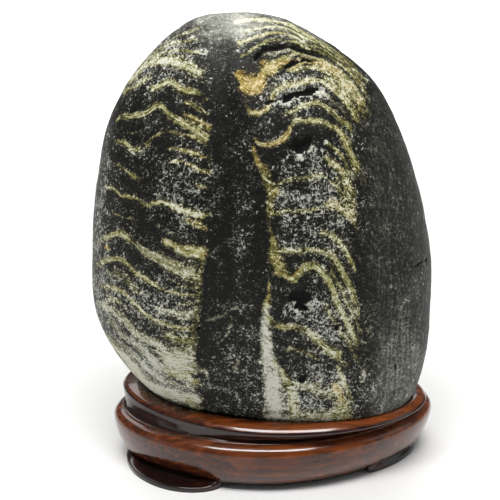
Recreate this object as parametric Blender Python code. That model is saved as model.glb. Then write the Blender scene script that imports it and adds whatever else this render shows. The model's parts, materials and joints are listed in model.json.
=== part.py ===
"""A scholars rock, a banded water-worn stone, standing in the seat of its carved wooden stand.

Meshes are drawn in millimetres, and each object's scale turns them to metres. X runs along the
stand, -Y is the front, and Z is up from the surface that the feet stand on.
"""

import math

import bpy
import numpy as np
from mathutils import Matrix, Vector
from mathutils.bvhtree import BVHTree

MM = 0.001
PLACE_X, PLACE_Y = 3.84, 0.23  # moves the middle of the whole footprint to the origin

# Stone: the outline's height above the floor, then its left, right, front and back sides
STONE_SIDES = (
    (12.0, 1.0, 1.0, 0.0, 0.0),
    (20.0, -44.0, 47.0, -24.0, 23.0),
    (34.0, -64.0, 67.5, -39.5, 38.0),
    (50.0, -75.5, 71.5, -45.5, 43.5),
    (75.0, -85.0, 74.0, -50.0, 47.0),
    (98.0, -86.0, 74.0, -51.5, 49.0),
    (120.0, -84.0, 70.5, -50.0, 48.5),
    (145.0, -79.5, 63.5, -45.5, 45.5),
    (165.0, -75.5, 55.5, -39.5, 40.5),
    (182.0, -67.5, 45.5, -31.5, 34.0),
    (196.0, -55.0, 30.0, -22.5, 26.0),
    (206.0, -43.5, 14.5, -12.5, 18.0),
    (212.0, -34.0, 2.0, -5.0, 11.0),
    (214.5, -18.0, -18.0, 3.0, 3.0),
)
STONE_SQUARENESS = 2.15  # exponent of each level section, where 2 is an ellipse
STONE_TURN = math.radians(-5.0)  # the stone's broad face is turned a little to the left on its stand
LOW_TURN, LOW_TURN_ENDS = math.radians(-10.0), 90.0  # its narrow foot turns further, up to this height
LUMP_HEIGHT = 0.9
RELIEF_FROM, RELIEF_FULL = 37.0, 48.0  # heights between which the relief grows in, clear of the seat

# The stone's face is laid out as seen from this far in front of the axis and this far above it
EYE_DISTANCE, EYE_LIFT, AXIS_HEIGHT = 650.0, math.radians(20.0), 110.0
FACE_BASE = -97.6  # the floor's centre, below the axis point in that view

# Dark vein down the face: (up, across) of its two edges, worn into a shallow trough
VEIN_LEFT = ((200, -29), (152, -30), (103, -30), (76, -33.5), (43, -37), (13, -33))
VEIN_RIGHT = ((200, -19), (176, -18.5), (144, -10), (118, -4), (80, 0), (59, -5.5), (13, -1))
VEIN_DEPTH, VEIN_STEP = 1.3, 9.0

# Pits: across, up, half length, half height, tilt in degrees, depth
PITS = (
    (13.7, 139.5, 7.0, 3.6, 20.0, 3.2),
    (13.7, 164.0, 7.5, 2.8, 14.0, 2.4),
    (12.8, 68.0, 5.6, 5.2, 0.0, 3.0),
    (30.1, 54.0, 2.4, 2.0, 0.0, 1.6),
    (13.7, 29.6, 3.0, 2.2, 10.0, 1.8),
    (68.8, 84.4, 3.8, 1.8, 28.0, 1.2),
    (57.7, 36.4, 1.8, 2.4, -12.0, 1.0),
)
# Cracks that follow the folded layers: points of (across, up)
CRACKS = (
    ((-10, 178.3), (-7.3, 181.6), (-4.5, 184.4), (1, 185.4), (7.2, 187)),
    ((12.5, 184.2), (16.5, 183.6), (21, 182.2), (26, 180.2)),
)
CRACK_WIDTH, CRACK_DEPTH = 2.4, 1.8

# Stand: plan of its widest moulding, and of the collar's top, which follows the stone
NOSE_LENGTH, NOSE_DEPTH = 155.5, 102.0
COLLAR_LENGTH, COLLAR_DEPTH = 148.5, 97.0
OVAL_SQUARENESS = 1.86
COLLAR_TURN, COLLAR_SHIFT = math.radians(-13.0), -0.3
LIP_HEIGHT = 33.0  # where the collar's top meets the stone
SEAT_GAP = 0.4
# Collar top, from the stone (share 0) to its outer edge (share 1): share across, rise over the lip
COLLAR_TOP = ((0.3, 0.9), (0.65, 0.9))
# The collar's rounded edge: inset from its outline, height
COLLAR_EDGE = ((1.1, 33.3), (0.2, 32.1), (0.0, 30.8))
# The collar's wall, hollowed from its edge (share 0) to the groove (share 1): share across, height
COLLAR_WALL = ((0.2, 28.8), (0.6, 26.8))
GROOVE_INSET, GROOVE_HEIGHT = 6.2, 25.4
# Bead and rounded moulding: inset from the nose's outline, height
MOULDING = ((5.4, 25.0), (4.4, 25.1), (3.8, 24.3), (2.2, 23.7), (0.8, 22.4), (0.0, 20.8))
# Apron, which slopes in further at its slim side: the same, with the angle of that side and how much
APRON = ((0.3, 17.2), (1.4, 12.2), (3.2, 7.4), (4.8, 4.6))
APRON_INSET, APRON_BOTTOM = 5.6, 3.0
SLIM_ANGLE, SLIM_SHARE = math.radians(330.0), 0.4
# Feet, crescent pads: angle of the middle, half length in degrees, spread beyond the apron's edge, lean
FEET = ((215.3, 30.1, 8.7, 0.75), (331.0, 23.0, 1.4, -0.3), (58.0, 22.0, 4.4, 0.0), (130.0, 23.0, 5.4, 0.0))
FOOT_EDGE_HEIGHT, FOOT_CREASE_HEIGHT, FOOT_BEVEL = 2.4, 3.8, 0.5
FOOT_CREASE_SHARE = 0.3  # how far out on the pad the crease lies where the apron's cove ends
FOOT_INNER_INSET = 20.0

# Mesh: steps round the front and back halves, and rings up the stone and in the seat
FRONT_STEPS, BACK_STEPS = 44, 26
SEAT_RINGS, BODY_RINGS = 5, 32

STONE_COLOUR = (0.022, 0.024, 0.020, 1.0)
STAND_COLOUR = (0.085, 0.018, 0.006, 1.0)


def smooth_through(at, keys, values):
    """A smooth curve through the values at the keys, read at each place in at."""
    keys, values = np.asarray(keys, float), np.asarray(values, float)
    slopes = np.gradient(values, keys)
    i = np.clip(np.searchsorted(keys, at) - 1, 0, len(keys) - 2)
    span = keys[i + 1] - keys[i]
    t = np.clip((at - keys[i]) / span, 0.0, 1.0)
    start, end = values[i], values[i + 1]
    rise = (3 - 2 * t) * t * t
    bend = t * (1 - t) * ((1 - t) * slopes[i] - t * slopes[i + 1]) * span
    return start + (end - start) * rise + bend


def soft_step(low, high, value):
    """0 below low, 1 above high, and smooth between them."""
    t = np.clip((value - low) / (high - low), 0.0, 1.0)
    return t * t * (3 - 2 * t)


def rounded(angle, squareness):
    """Cosine and sine of an angle, bent to a fuller or slimmer oval than an ellipse."""
    c, s = np.cos(angle), np.sin(angle)
    power = 2.0 / squareness
    return np.sign(c) * np.abs(c) ** power, np.sign(s) * np.abs(s) ** power


def share_of(height):
    """How far a height lies along the stone, 0 at its bottom and 1 at its top, closer spaced at both."""
    low, high = STONE_SIDES[0][0], STONE_SIDES[-1][0]
    return np.arccos(1 - 2 * (height - low) / (high - low)) / math.pi


def turned(points, turn):
    """Points turned about the upright axis."""
    c, s = np.cos(turn), np.sin(turn)
    x, y, z = points[..., 0], points[..., 1], points[..., 2]
    return np.stack((c * x - s * y, s * x + c * y, z), -1)


def stone_form(share, angle):
    """Points of the plain egg, before any relief."""
    heights, left, right, front, back = np.array(STONE_SIDES).T
    keys = share_of(heights)
    sides = [smooth_through(share, keys, side) for side in (left, right, front, back)]
    c, s = rounded(angle, STONE_SQUARENESS)
    x = (sides[0] + sides[1]) / 2 + (sides[1] - sides[0]) / 2 * c
    y = (sides[2] + sides[3]) / 2 + (sides[3] - sides[2]) / 2 * s
    z = heights[0] + (heights[-1] - heights[0]) * (1 - np.cos(math.pi * share)) / 2
    points = np.stack(np.broadcast_arrays(x, y, z), -1)
    return turned(points, LOW_TURN * (1 - soft_step(LIP_HEIGHT, LOW_TURN_ENDS, points[..., 2])))


def stone_outward(share, angle):
    """Unit vectors that point straight out of the egg."""
    step = 1e-3
    share = np.clip(share, 2 * step, 1 - 2 * step)
    along = stone_form(share + step, angle) - stone_form(share - step, angle)
    around = stone_form(share, angle + step) - stone_form(share, angle - step)
    out = np.cross(around, along)
    return out / np.linalg.norm(out, axis=-1, keepdims=True)


def eye_axes():
    """The place the face is seen from, and that view's right, up and forward directions."""
    cos, sin = math.cos(EYE_LIFT), math.sin(EYE_LIFT)
    eye = np.array((0.0, -cos * EYE_DISTANCE, AXIS_HEIGHT + sin * EYE_DISTANCE))
    return eye, np.array((1.0, 0.0, 0.0)), np.array((0.0, sin, cos)), np.array((0.0, cos, -sin))


def on_face(points):
    """Across and up, in millimetres as seen from the front, of points of the stone."""
    eye, right, up, forward = eye_axes()
    away = points - eye
    scale = EYE_DISTANCE / (away @ forward)
    return (away @ right) * scale, (away @ up) * scale - FACE_BASE


def stone_relief(points):
    """How far the worn surface stands out of the plain egg: lumps, and the trough of the dark vein."""
    x, y, z = points[..., 0], points[..., 1], points[..., 2]
    lumps = np.sin(x / 21 + 0.6) * np.cos(z / 27 + 0.4) + 0.6 * np.sin((x + y) / 12 + z / 17)
    across, up = on_face(points)
    left = smooth_through(up, *np.array(VEIN_LEFT[::-1]).T)
    right = smooth_through(up, *np.array(VEIN_RIGHT[::-1]).T)
    inside = soft_step(-2, VEIN_STEP, across - left) * soft_step(-2, VEIN_STEP, right - across)
    trough = VEIN_DEPTH * inside * soft_step(0.0, 12.0, -y)
    return (LUMP_HEIGHT * lumps - trough) * soft_step(RELIEF_FROM, RELIEF_FULL, z)


def stone_rings(shares, angles, grow=0.0):
    """Rings of points round the stone at each share of its height."""
    share, angle = np.meshgrid(shares, angles, indexing="ij")
    points = stone_form(share, angle)
    out = stone_outward(share, angle)
    return points + out * (stone_relief(points) + grow)[..., None]


def placed(name, mesh):
    """An object that shows a mesh drawn in millimetres at its size in metres."""
    shape = bpy.data.objects.new(name, mesh)
    shape.scale = (MM, MM, MM)
    shape.location = (PLACE_X * MM, PLACE_Y * MM, 0.0)
    bpy.context.scene.collection.objects.link(shape)
    return shape


def loft(name, rings, first, last):
    """One closed skin over level rings, ending in a point at each end."""
    count, steps = rings.shape[:2]
    points = [first, *rings.reshape(-1, 3), last]
    faces = []
    for i in range(steps):
        j = (i + 1) % steps
        faces.append((0, 1 + j, 1 + i))
        for k in range(count - 1):
            low, high = 1 + k * steps, 1 + (k + 1) * steps
            faces.append((low + i, low + j, high + j))
            faces.append((low + i, high + j, high + i))
        top = 1 + (count - 1) * steps
        faces.append((top + i, top + j, len(points) - 1))
    mesh = bpy.data.meshes.new(name)
    mesh.from_pydata([tuple(map(float, point)) for point in points], [], faces)
    mesh.shade_smooth()
    return placed(name, mesh)


def step_angles():
    """Angles round the part, counted from its right end, closer together round the front."""
    back = np.arange(BACK_STEPS) * math.pi / BACK_STEPS
    front = math.pi + np.arange(FRONT_STEPS) * math.pi / FRONT_STEPS
    return np.concatenate((back, front))


def seat_shares():
    """Shares of the stone's height from just above its bottom to the collar's lip."""
    return share_of(LIP_HEIGHT) * np.arange(1, SEAT_RINGS + 1) / SEAT_RINGS


def paint(shape, name, colour, roughness):
    """Gives a shape its material."""
    material = bpy.data.materials.new(name)
    material.use_nodes = True
    surface = material.node_tree.nodes["Principled BSDF"]
    surface.inputs["Base Color"].default_value = colour
    surface.inputs["Roughness"].default_value = roughness
    surface.inputs["Metallic"].default_value = 0.0
    shape.data.materials.append(material)


def cutter(name, mesh, stone):
    """Hides a cutting shape and takes it out of the stone."""
    shape = placed(name, mesh)
    shape.hide_render = True
    shape.display_type = "WIRE"
    cut = stone.modifiers.new(name, "BOOLEAN")
    cut.operation = "DIFFERENCE"
    cut.solver = "EXACT"
    cut.object = shape


def spot_on_stone(tree, across, up):
    """The point of the stone's skin seen at a place on its face, and the way out of it there."""
    eye, right, high, forward = eye_axes()
    ray = forward * EYE_DISTANCE + right * across + high * (up + FACE_BASE)
    start, way = turned(eye, STONE_TURN), turned(ray, STONE_TURN)
    point, out, _, _ = tree.ray_cast(Vector(start), Vector(way).normalized())
    return point, out


def dish(name, length, height, depth):
    """A low-sided lens whose lower half makes a pit: half length, half height and depth."""
    steps, rows = 12, 5
    tilt = (np.arange(rows) + 1) * math.pi / (rows + 1)
    round_ = np.arange(steps) * 2 * math.pi / steps
    points = [(0.0, 0.0, -depth)]
    for t in tilt:
        for a in round_:
            wide = math.sin(t)
            points.append((length * wide * math.cos(a), height * wide * math.sin(a), -depth * math.cos(t)))
    points.append((0.0, 0.0, depth))
    faces = []
    for i in range(steps):
        j = (i + 1) % steps
        faces.append((0, 1 + j, 1 + i))
        for k in range(rows - 1):
            faces.append((1 + k * steps + i, 1 + k * steps + j, 1 + (k + 1) * steps + j, 1 + (k + 1) * steps + i))
        faces.append((1 + (rows - 1) * steps + i, 1 + (rows - 1) * steps + j, len(points) - 1))
    mesh = bpy.data.meshes.new(name)
    mesh.from_pydata(points, [], faces)
    return mesh


def cut_pits(stone, tree):
    """Pits worn into the stone's face."""
    for number, (across, up, length, height, tilt, depth) in enumerate(PITS):
        name = f"pit_{number}"
        mesh = dish(name, length, height, depth)
        point, out = spot_on_stone(tree, across, up)
        side = Vector((0, 0, 1)).cross(out).normalized()
        frame = Matrix((side, out.cross(side), out)).transposed()
        turn = Matrix.Rotation(math.radians(tilt), 3, "Z")
        mesh.transform(Matrix.Translation(point) @ (frame @ turn).to_4x4())
        cutter(name, mesh, stone)


def cut_cracks(stone, tree):
    """Open cracks: a wedge that runs along the skin and comes to nothing at both ends."""
    for number, route in enumerate(CRACKS):
        spots = [spot_on_stone(tree, *place) for place in route]
        points, faces = [], []
        for k, (point, out) in enumerate(spots):
            before, after = spots[max(k - 1, 0)][0], spots[min(k + 1, len(spots) - 1)][0]
            side = out.cross(after - before).normalized()
            full = 0.25 if k in (0, len(spots) - 1) else 1.0
            wide, deep = side * (CRACK_WIDTH / 2 * full), out * (CRACK_DEPTH * full)
            points += [point - deep, point + wide + deep * 0.3, point + deep, point - wide + deep * 0.3]
        last = len(points) - 4
        for k in range(len(spots) - 1):
            for i in range(4):
                j = (i + 1) % 4
                faces.append((4 * k + i, 4 * k + j, 4 * k + 4 + j, 4 * k + 4 + i))
        faces.append((3, 2, 1, 0))
        faces.append((last, last + 1, last + 2, last + 3))
        mesh = bpy.data.meshes.new(f"crack_{number}")
        mesh.from_pydata([tuple(p) for p in points], [], faces)
        cutter(f"crack_{number}", mesh, stone)


def make_stone():
    """The water-worn stone, one solid down to where it rests in the seat."""
    seat = seat_shares()
    body = seat[-1] + (1 - seat[-1]) * np.arange(1, BODY_RINGS) / BODY_RINGS
    angles = step_angles()
    rings = turned(stone_rings(np.concatenate((seat, body)), angles), STONE_TURN)
    ends = [turned(stone_form(np.array(end), np.array(0.0)), STONE_TURN) for end in (0.0, 1.0)]
    stone = loft("stone", rings, *ends)
    skin = stone.data
    tree = BVHTree.FromPolygons([v.co for v in skin.vertices], [tuple(p.vertices) for p in skin.polygons])
    cut_pits(stone, tree)
    cut_cracks(stone, tree)
    paint(stone, "water_worn_stone", STONE_COLOUR, 0.6)
    return stone


def oval(angles, length, depth, inset, turn=0.0, shift=0.0):
    """Plan points of one of the stand's ovals, moved in by an inset for each angle."""
    c, s = rounded(angles - turn, OVAL_SQUARENESS)
    out = np.stack((np.cos(angles - turn) / length, np.sin(angles - turn) / depth, 0 * c), -1)
    out /= np.linalg.norm(out, axis=-1, keepdims=True)
    inset = np.broadcast_to(inset, angles.shape)[:, None]
    points = np.stack((length / 2 * c, depth / 2 * s, 0 * c), -1) - out * inset
    return turned(points, turn) + np.array((shift, 0.0, 0.0))


def raised(plan, height):
    """Plan points lifted to a height, which may differ round the ring."""
    return plan + np.array((0.0, 0.0, 1.0)) * np.broadcast_to(height, plan.shape[:1])[:, None]


def foot_shape(angles):
    """At each angle, whether a foot stands there, and how far it spreads and what share that is."""
    stands, spread, share = (np.zeros_like(angles) for _ in range(3))
    for middle, half, reach, lean in FEET:
        along = np.clip(((np.degrees(angles) - middle + 180) % 360 - 180) / half, -1, 1)
        bulge = (1 - along**2) ** 0.75 * (1 + lean * along)
        stands = np.maximum(stands, np.abs(along) < 1)
        spread, share = np.maximum(spread, reach * bulge), np.maximum(share, bulge)
    return stands, spread, share


def stand_rings(angles, lip):
    """Level rings of the stand from its underside, up the outside and over the collar to its lip."""
    stands, spread, share = foot_shape(angles)
    slim = 1 + SLIM_SHARE * np.maximum(0, np.cos(angles - SLIM_ANGLE)) ** 2
    apron = APRON_INSET * slim
    edge, bare = apron - spread, 1 - stands
    pad, pad_edge, pad_top, pad_crease = (
        np.where(stands > 0, height, APRON_BOTTOM)
        for height in (0.0, FOOT_EDGE_HEIGHT - FOOT_BEVEL, FOOT_EDGE_HEIGHT, FOOT_CREASE_HEIGHT)
    )
    low = [
        (FOOT_INNER_INSET + 0.6, APRON_BOTTOM),
        (FOOT_INNER_INSET, pad),
        (edge + 0.5 * bare, pad),
        (edge + 0.3 * bare, pad_edge),
        (edge + FOOT_BEVEL * share + 0.15 * bare, pad_top),
        (apron - np.maximum(0.5 * share, FOOT_CREASE_SHARE * spread), pad_crease),
    ]
    low += [(inset * slim, height) for inset, height in reversed(APRON)]
    low += reversed(MOULDING)
    rings = [raised(oval(angles, NOSE_LENGTH, NOSE_DEPTH, inset), height) for inset, height in low]
    groove = raised(oval(angles, NOSE_LENGTH, NOSE_DEPTH, GROOVE_INSET), GROOVE_HEIGHT)
    collar = [
        raised(oval(angles, COLLAR_LENGTH, COLLAR_DEPTH, inset, COLLAR_TURN, COLLAR_SHIFT), height)
        for inset, height in reversed(COLLAR_EDGE)
    ]
    rings.append(groove)
    for across, height in reversed(COLLAR_WALL):
        wall = collar[0] + (groove - collar[0]) * across
        wall[:, 2] = height
        rings.append(wall)
    rings += collar
    for across, rise in reversed(COLLAR_TOP):
        top = lip + (collar[-1] - lip) * across
        top[:, 2] = LIP_HEIGHT + rise
        rings.append(top)
    return np.array(rings)


def make_stand():
    """The carved stand: feet, apron, moulding, groove, collar and the seat that fits the stone."""
    angles = step_angles()
    seat = turned(stone_rings(seat_shares()[::-1], angles, SEAT_GAP), STONE_TURN)
    outside = stand_rings(angles, seat[0])
    bottom = np.array((0.0, 0.0, APRON_BOTTOM))
    low = turned(stone_form(np.array(0.0), np.array(0.0)), STONE_TURN) - (0, 0, SEAT_GAP)
    stand = loft("stand", np.concatenate((outside, seat)), bottom, low)
    stand.data.set_sharp_from_angle(angle=math.radians(40))
    paint(stand, "lacquered_hardwood", STAND_COLOUR, 0.3)
    return stand


def main():
    for old in list(bpy.data.objects):
        bpy.data.objects.remove(old, do_unlink=True)
    make_stone()
    make_stand()


main()
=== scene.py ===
"""A banded viewing stone resting in its carved, lacquered wooden stand, on a pale studio floor."""

import json
import math

import bpy
import numpy as np
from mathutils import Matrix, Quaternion, Vector, noise

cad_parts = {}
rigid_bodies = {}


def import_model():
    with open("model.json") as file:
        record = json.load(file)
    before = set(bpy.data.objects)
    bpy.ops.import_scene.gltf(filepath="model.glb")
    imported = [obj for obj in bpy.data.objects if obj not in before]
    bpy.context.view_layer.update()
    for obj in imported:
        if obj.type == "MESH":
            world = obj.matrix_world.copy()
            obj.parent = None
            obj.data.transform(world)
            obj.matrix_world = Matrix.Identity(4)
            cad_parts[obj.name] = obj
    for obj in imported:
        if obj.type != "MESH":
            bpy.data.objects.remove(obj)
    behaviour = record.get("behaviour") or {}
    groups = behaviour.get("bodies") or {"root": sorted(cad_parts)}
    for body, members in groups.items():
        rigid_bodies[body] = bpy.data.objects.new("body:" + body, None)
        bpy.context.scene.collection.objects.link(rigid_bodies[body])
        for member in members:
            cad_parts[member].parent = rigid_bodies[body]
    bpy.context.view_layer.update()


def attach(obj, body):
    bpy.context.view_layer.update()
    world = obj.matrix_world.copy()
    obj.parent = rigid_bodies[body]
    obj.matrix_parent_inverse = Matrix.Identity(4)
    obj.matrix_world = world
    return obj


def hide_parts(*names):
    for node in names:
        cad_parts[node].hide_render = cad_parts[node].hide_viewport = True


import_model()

# The stone's body: an egg-shaped cobble of dark folded slate, ground round by a river. It is one piece, and
# its broad face is turned a little to the left on the stand. It is drawn in millimetres.

MM = 0.001
PLACE_X, PLACE_Y = 3.84, 0.23  # where the stand's middle lies from the origin
STONE_SIDES = (  # height of a level outline, and its left, right, front and back sides
    (12.0, 1.0, 1.0, 0.0, 0.0),
    (20.0, -44.0, 47.0, -24.0, 23.0),
    (34.0, -64.0, 67.5, -39.5, 38.0),
    (50.0, -75.5, 71.5, -45.5, 43.5),
    (75.0, -85.0, 74.0, -50.0, 47.0),
    (98.0, -86.0, 74.0, -51.5, 49.0),
    (120.0, -84.0, 70.5, -50.0, 48.5),
    (145.0, -79.5, 63.5, -45.5, 45.5),
    (165.0, -75.5, 55.5, -39.5, 40.5),
    (182.0, -67.5, 45.5, -31.5, 34.0),
    (196.0, -55.0, 30.0, -22.5, 26.0),
    (206.0, -43.5, 14.5, -12.5, 18.0),
    (212.0, -34.0, 2.0, -5.0, 11.0),
    (214.5, -18.0, -18.0, 3.0, 3.0),
)
STONE_SQUARENESS = 2.15
STONE_TURN = math.radians(-5.0)
LOW_TURN, LOW_TURN_ENDS = math.radians(-10.0), 90.0
LUMP_HEIGHT = 0.9
LIP_HEIGHT = 33.0  # where the stand's collar meets the stone
RELIEF_FROM, RELIEF_FULL = 37.0, 48.0
STONE_TRIM = 0.25  # keeps the fine surface just inside the plain one


def smooth_through(at, keys, values):
    """A smooth curve through the values at the keys, read at each place in at."""
    keys, values = np.asarray(keys, float), np.asarray(values, float)
    slopes = np.gradient(values, keys)
    i = np.clip(np.searchsorted(keys, at) - 1, 0, len(keys) - 2)
    span = keys[i + 1] - keys[i]
    t = np.clip((at - keys[i]) / span, 0.0, 1.0)
    rise = (3 - 2 * t) * t * t
    bend = t * (1 - t) * ((1 - t) * slopes[i] - t * slopes[i + 1]) * span
    return values[i] + (values[i + 1] - values[i]) * rise + bend


def soft_step(low, high, value):
    """0 below low, 1 above high, and smooth between them."""
    t = np.clip((value - low) / (high - low), 0.0, 1.0)
    return t * t * (3 - 2 * t)


def rounded(angle, squareness):
    """Cosine and sine of an angle, bent to a fuller or slimmer oval than an ellipse."""
    c, s = np.cos(angle), np.sin(angle)
    power = 2.0 / squareness
    return np.sign(c) * np.abs(c) ** power, np.sign(s) * np.abs(s) ** power


def turned(points, turn):
    """Points turned about the upright axis."""
    c, s = np.cos(turn), np.sin(turn)
    x, y, z = points[..., 0], points[..., 1], points[..., 2]
    return np.stack((c * x - s * y, s * x + c * y, z), -1)


def share_of(height):
    """How far a height lies along the stone, 0 at its bottom and 1 at its top, closer spaced at both."""
    low, high = STONE_SIDES[0][0], STONE_SIDES[-1][0]
    return np.arccos(1 - 2 * (height - low) / (high - low)) / math.pi


def stone_form(share, angle):
    """Points of the plain egg, before any relief."""
    heights, *sides = np.array(STONE_SIDES).T
    left, right, front, back = (smooth_through(share, share_of(heights), side) for side in sides)
    c, s = rounded(angle, STONE_SQUARENESS)
    x = (left + right) / 2 + (right - left) / 2 * c
    y = (front + back) / 2 + (back - front) / 2 * s
    z = heights[0] + (heights[-1] - heights[0]) * (1 - np.cos(math.pi * share)) / 2
    points = np.stack(np.broadcast_arrays(x, y, z), -1)
    return turned(points, LOW_TURN * (1 - soft_step(LIP_HEIGHT, LOW_TURN_ENDS, points[..., 2])))


def stone_outward(share, angle):
    """Unit vectors that point straight out of the egg."""
    step = 1e-3
    share = np.clip(share, 2 * step, 1 - 2 * step)
    along = stone_form(share + step, angle) - stone_form(share - step, angle)
    around = stone_form(share, angle + step) - stone_form(share, angle - step)
    out = np.cross(around, along)
    return out / np.linalg.norm(out, axis=-1, keepdims=True)


# The stone's face, laid out as someone in front sees it: across and up, in millimetres. Layers, pits and
# cracks are placed on it, and the layers run on through the body behind it.

EYE_DISTANCE, EYE_LIFT, AXIS_HEIGHT = 650.0, math.radians(20.0), 110.0
FACE_BASE = -97.6  # the floor's centre, below the axis point in that view
EYE = np.array((0.0, -math.cos(EYE_LIFT) * EYE_DISTANCE, AXIS_HEIGHT + math.sin(EYE_LIFT) * EYE_DISTANCE))
EYE_UP = np.array((0.0, math.sin(EYE_LIFT), math.cos(EYE_LIFT)))
EYE_FORWARD = np.array((0.0, math.cos(EYE_LIFT), -math.sin(EYE_LIFT)))
VEIN_LEFT = ((200, -29), (152, -30), (103, -30), (76, -33.5), (43, -37), (13, -33))  # (up, across)
VEIN_RIGHT = ((200, -19), (176, -18.5), (144, -10), (118, -4), (80, 0), (59, -5.5), (13, -1))
VEIN_DEPTH, VEIN_STEP = 1.3, 9.0
PITS = (  # across, up, half length, half height, tilt in degrees, depth
    (13.2, 139.5, 6.4, 3.8, 24.0, 3.0),
    (13.7, 164.0, 8.5, 2.0, 16.0, 2.2),
    (12.8, 68.0, 5.4, 4.6, 0.0, 2.6),
    (30.1, 53.6, 2.0, 1.7, 0.0, 1.5),
    (13.7, 29.8, 3.0, 2.4, 12.0, 1.6),
    (-2.6, 159.5, 1.6, 1.3, 30.0, 1.3),
    (68.8, 84.4, 3.6, 1.1, 28.0, 1.2),
    (57.7, 36.4, 1.3, 2.0, -12.0, 0.9),
    (-7.8, 188.6, 0.7, 0.6, 0.0, 0.9),
)
PIT_LIP = 0.3
SCARS = (  # routes of (across, up) where the skin was bruised rough, and their half width
    (((71, 86), (67, 76), (62, 63)), 3.2),
    (((68, 62), (65, 51), (66, 42)), 1.8),
    (((8, 137), (20, 133)), 2.2),
    (((7, 62), (20, 64)), 3.0),
)
SCAR_HEIGHT = 0.3
CRACKS = (  # points of (across, up) along each crack
    ((-10, 178.3), (-7.3, 181.6), (-4.5, 184.4), (1, 185.4), (7.2, 187), (12.5, 184.6), (20, 182.4),
     (26, 180.2)),
    ((4.5, 175.5), (9.5, 178.5), (15, 180.2), (21, 179.5)),
)
CRACK_WIDTH, CRACK_DEPTH = 1.5, 2.2
LEDGE_HEIGHT, LEDGE_AWAY = 0.35, 1.6  # the low ledge that stands below each crack


def on_face(points):
    """Across and up, in millimetres as seen from the front, of points of the stone."""
    away = points - EYE
    scale = EYE_DISTANCE / (away @ EYE_FORWARD)
    return away[..., 0] * scale, (away @ EYE_UP) * scale - FACE_BASE


def vein_edges(up):
    """Where the dark vein's left and right edges lie at a height on the face."""
    return (smooth_through(up, *np.array(edge[::-1]).T) for edge in (VEIN_LEFT, VEIN_RIGHT))


def worn(points, size, octaves=3):
    """Smooth noise of about -1 to 1, in lumps of the given size in millimetres."""
    spots = points.reshape(-1, 3) / size
    values = [noise.fractal(Vector(spot), 1.0, 2.0, octaves) for spot in spots]
    return np.array(values).reshape(points.shape[:-1])


def beside(across, up, route):
    """How far each place on the face lies from a route, how far along it, and on which side."""
    best = np.full(across.shape, 1e9)
    share, side = np.zeros(across.shape), np.zeros(across.shape)
    route = np.array(route, float)
    for k, (start, end) in enumerate(zip(route[:-1], route[1:])):
        run = end - start
        du, dv = across - start[0], up - start[1]
        t = np.clip((du * run[0] + dv * run[1]) / (run @ run), 0, 1)
        gap = np.hypot(du - t * run[0], dv - t * run[1])
        near = gap < best
        best = np.where(near, gap, best)
        share = np.where(near, (k + t) / (len(route) - 1), share)
        side = np.where(near, np.sign(run[0] * dv - run[1] * du), side)
    return best, share, side


def pit_shape(across, up, ragged):
    """How deep the pits are at each place, and how much of a lip stands there, most on the lower side."""
    deep, lip = np.zeros(across.shape), np.zeros(across.shape)
    for middle, height, length, tall, tilt, depth in PITS:
        c, s = math.cos(math.radians(tilt)), math.sin(math.radians(tilt))
        du, dv = across - middle, up - height
        along, over = (c * du + s * dv) / length, (c * dv - s * du) / tall
        reach = np.hypot(along, over) * (1 + 0.85 * ragged)
        lower = np.clip(0.75 - 0.45 * over, 0, 1)
        deep = np.maximum(deep, depth * lower * np.clip(1 - reach**2, 0, 1) ** 0.5)
        rim = np.exp(-(((reach - 1.22) / 0.24) ** 2)) * soft_step(0.2, 0.9, -over)
        lip = np.maximum(lip, rim * min(1.0, depth / 2))
    return deep, lip


# The stone's surface: fine rings round the egg, more of them on the face, with the trough of the softer
# dark vein, pits where soft grains fell out, cracks along the layers, and the river's small dents.

FRONT_STEPS, BACK_STEPS = 292, 118
STONE_RINGS = 238
SEAT_SHARE = share_of(24.0)  # the part below it is hidden in the stand
CROWN_SHARE = 0.995
DENT_SIZES = ((19.0, 0.32), (7.0, 0.16), (2.6, 0.09))  # size of the dents, and their height
RAGGED_SIZE, SCAR_GRAIN = 3.4, 1.5

back_angles = np.arange(BACK_STEPS) * math.pi / BACK_STEPS
front_angles = math.pi + np.arange(FRONT_STEPS) * math.pi / FRONT_STEPS
stone_angles = np.concatenate((back_angles, front_angles))
stone_shares = SEAT_SHARE + (CROWN_SHARE - SEAT_SHARE) * np.arange(STONE_RINGS) / (STONE_RINGS - 1)
share, angle = np.meshgrid(stone_shares, stone_angles, indexing="ij")
egg, outward = stone_form(share, angle), stone_outward(share, angle)
across, up = on_face(egg)
vein_left, vein_right = vein_edges(up)
facing = soft_step(-0.05, 0.12, -(outward @ EYE_FORWARD))  # 1 on the broad face, 0 behind

# Slow swells, and the trough of the vein, as the plain solid has them
lumps = np.sin(egg[..., 0] / 21 + 0.6) * np.cos(egg[..., 2] / 27 + 0.4)
lumps += 0.6 * np.sin((egg[..., 0] + egg[..., 1]) / 12 + egg[..., 2] / 17)
trough = soft_step(-2, VEIN_STEP, across - vein_left) * soft_step(-2, VEIN_STEP, vein_right - across)
relief = LUMP_HEIGHT * lumps - VEIN_DEPTH * trough * soft_step(0.0, 12.0, -egg[..., 1])
for size, height in DENT_SIZES:
    relief -= height * np.abs(worn(egg, size))
ragged = worn(egg, RAGGED_SIZE, 3)
scarred = np.zeros(across.shape)
for route, half in SCARS:
    gap = beside(across, up, route)[0]
    scarred = np.maximum(scarred, facing * (1 - soft_step(0.5, 1.4, gap / half)))
relief += SCAR_HEIGHT * scarred * worn(egg, SCAR_GRAIN, 2)
pit_depth, pit_lip = pit_shape(across, up, ragged)
crack_depth = np.zeros(across.shape)
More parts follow.
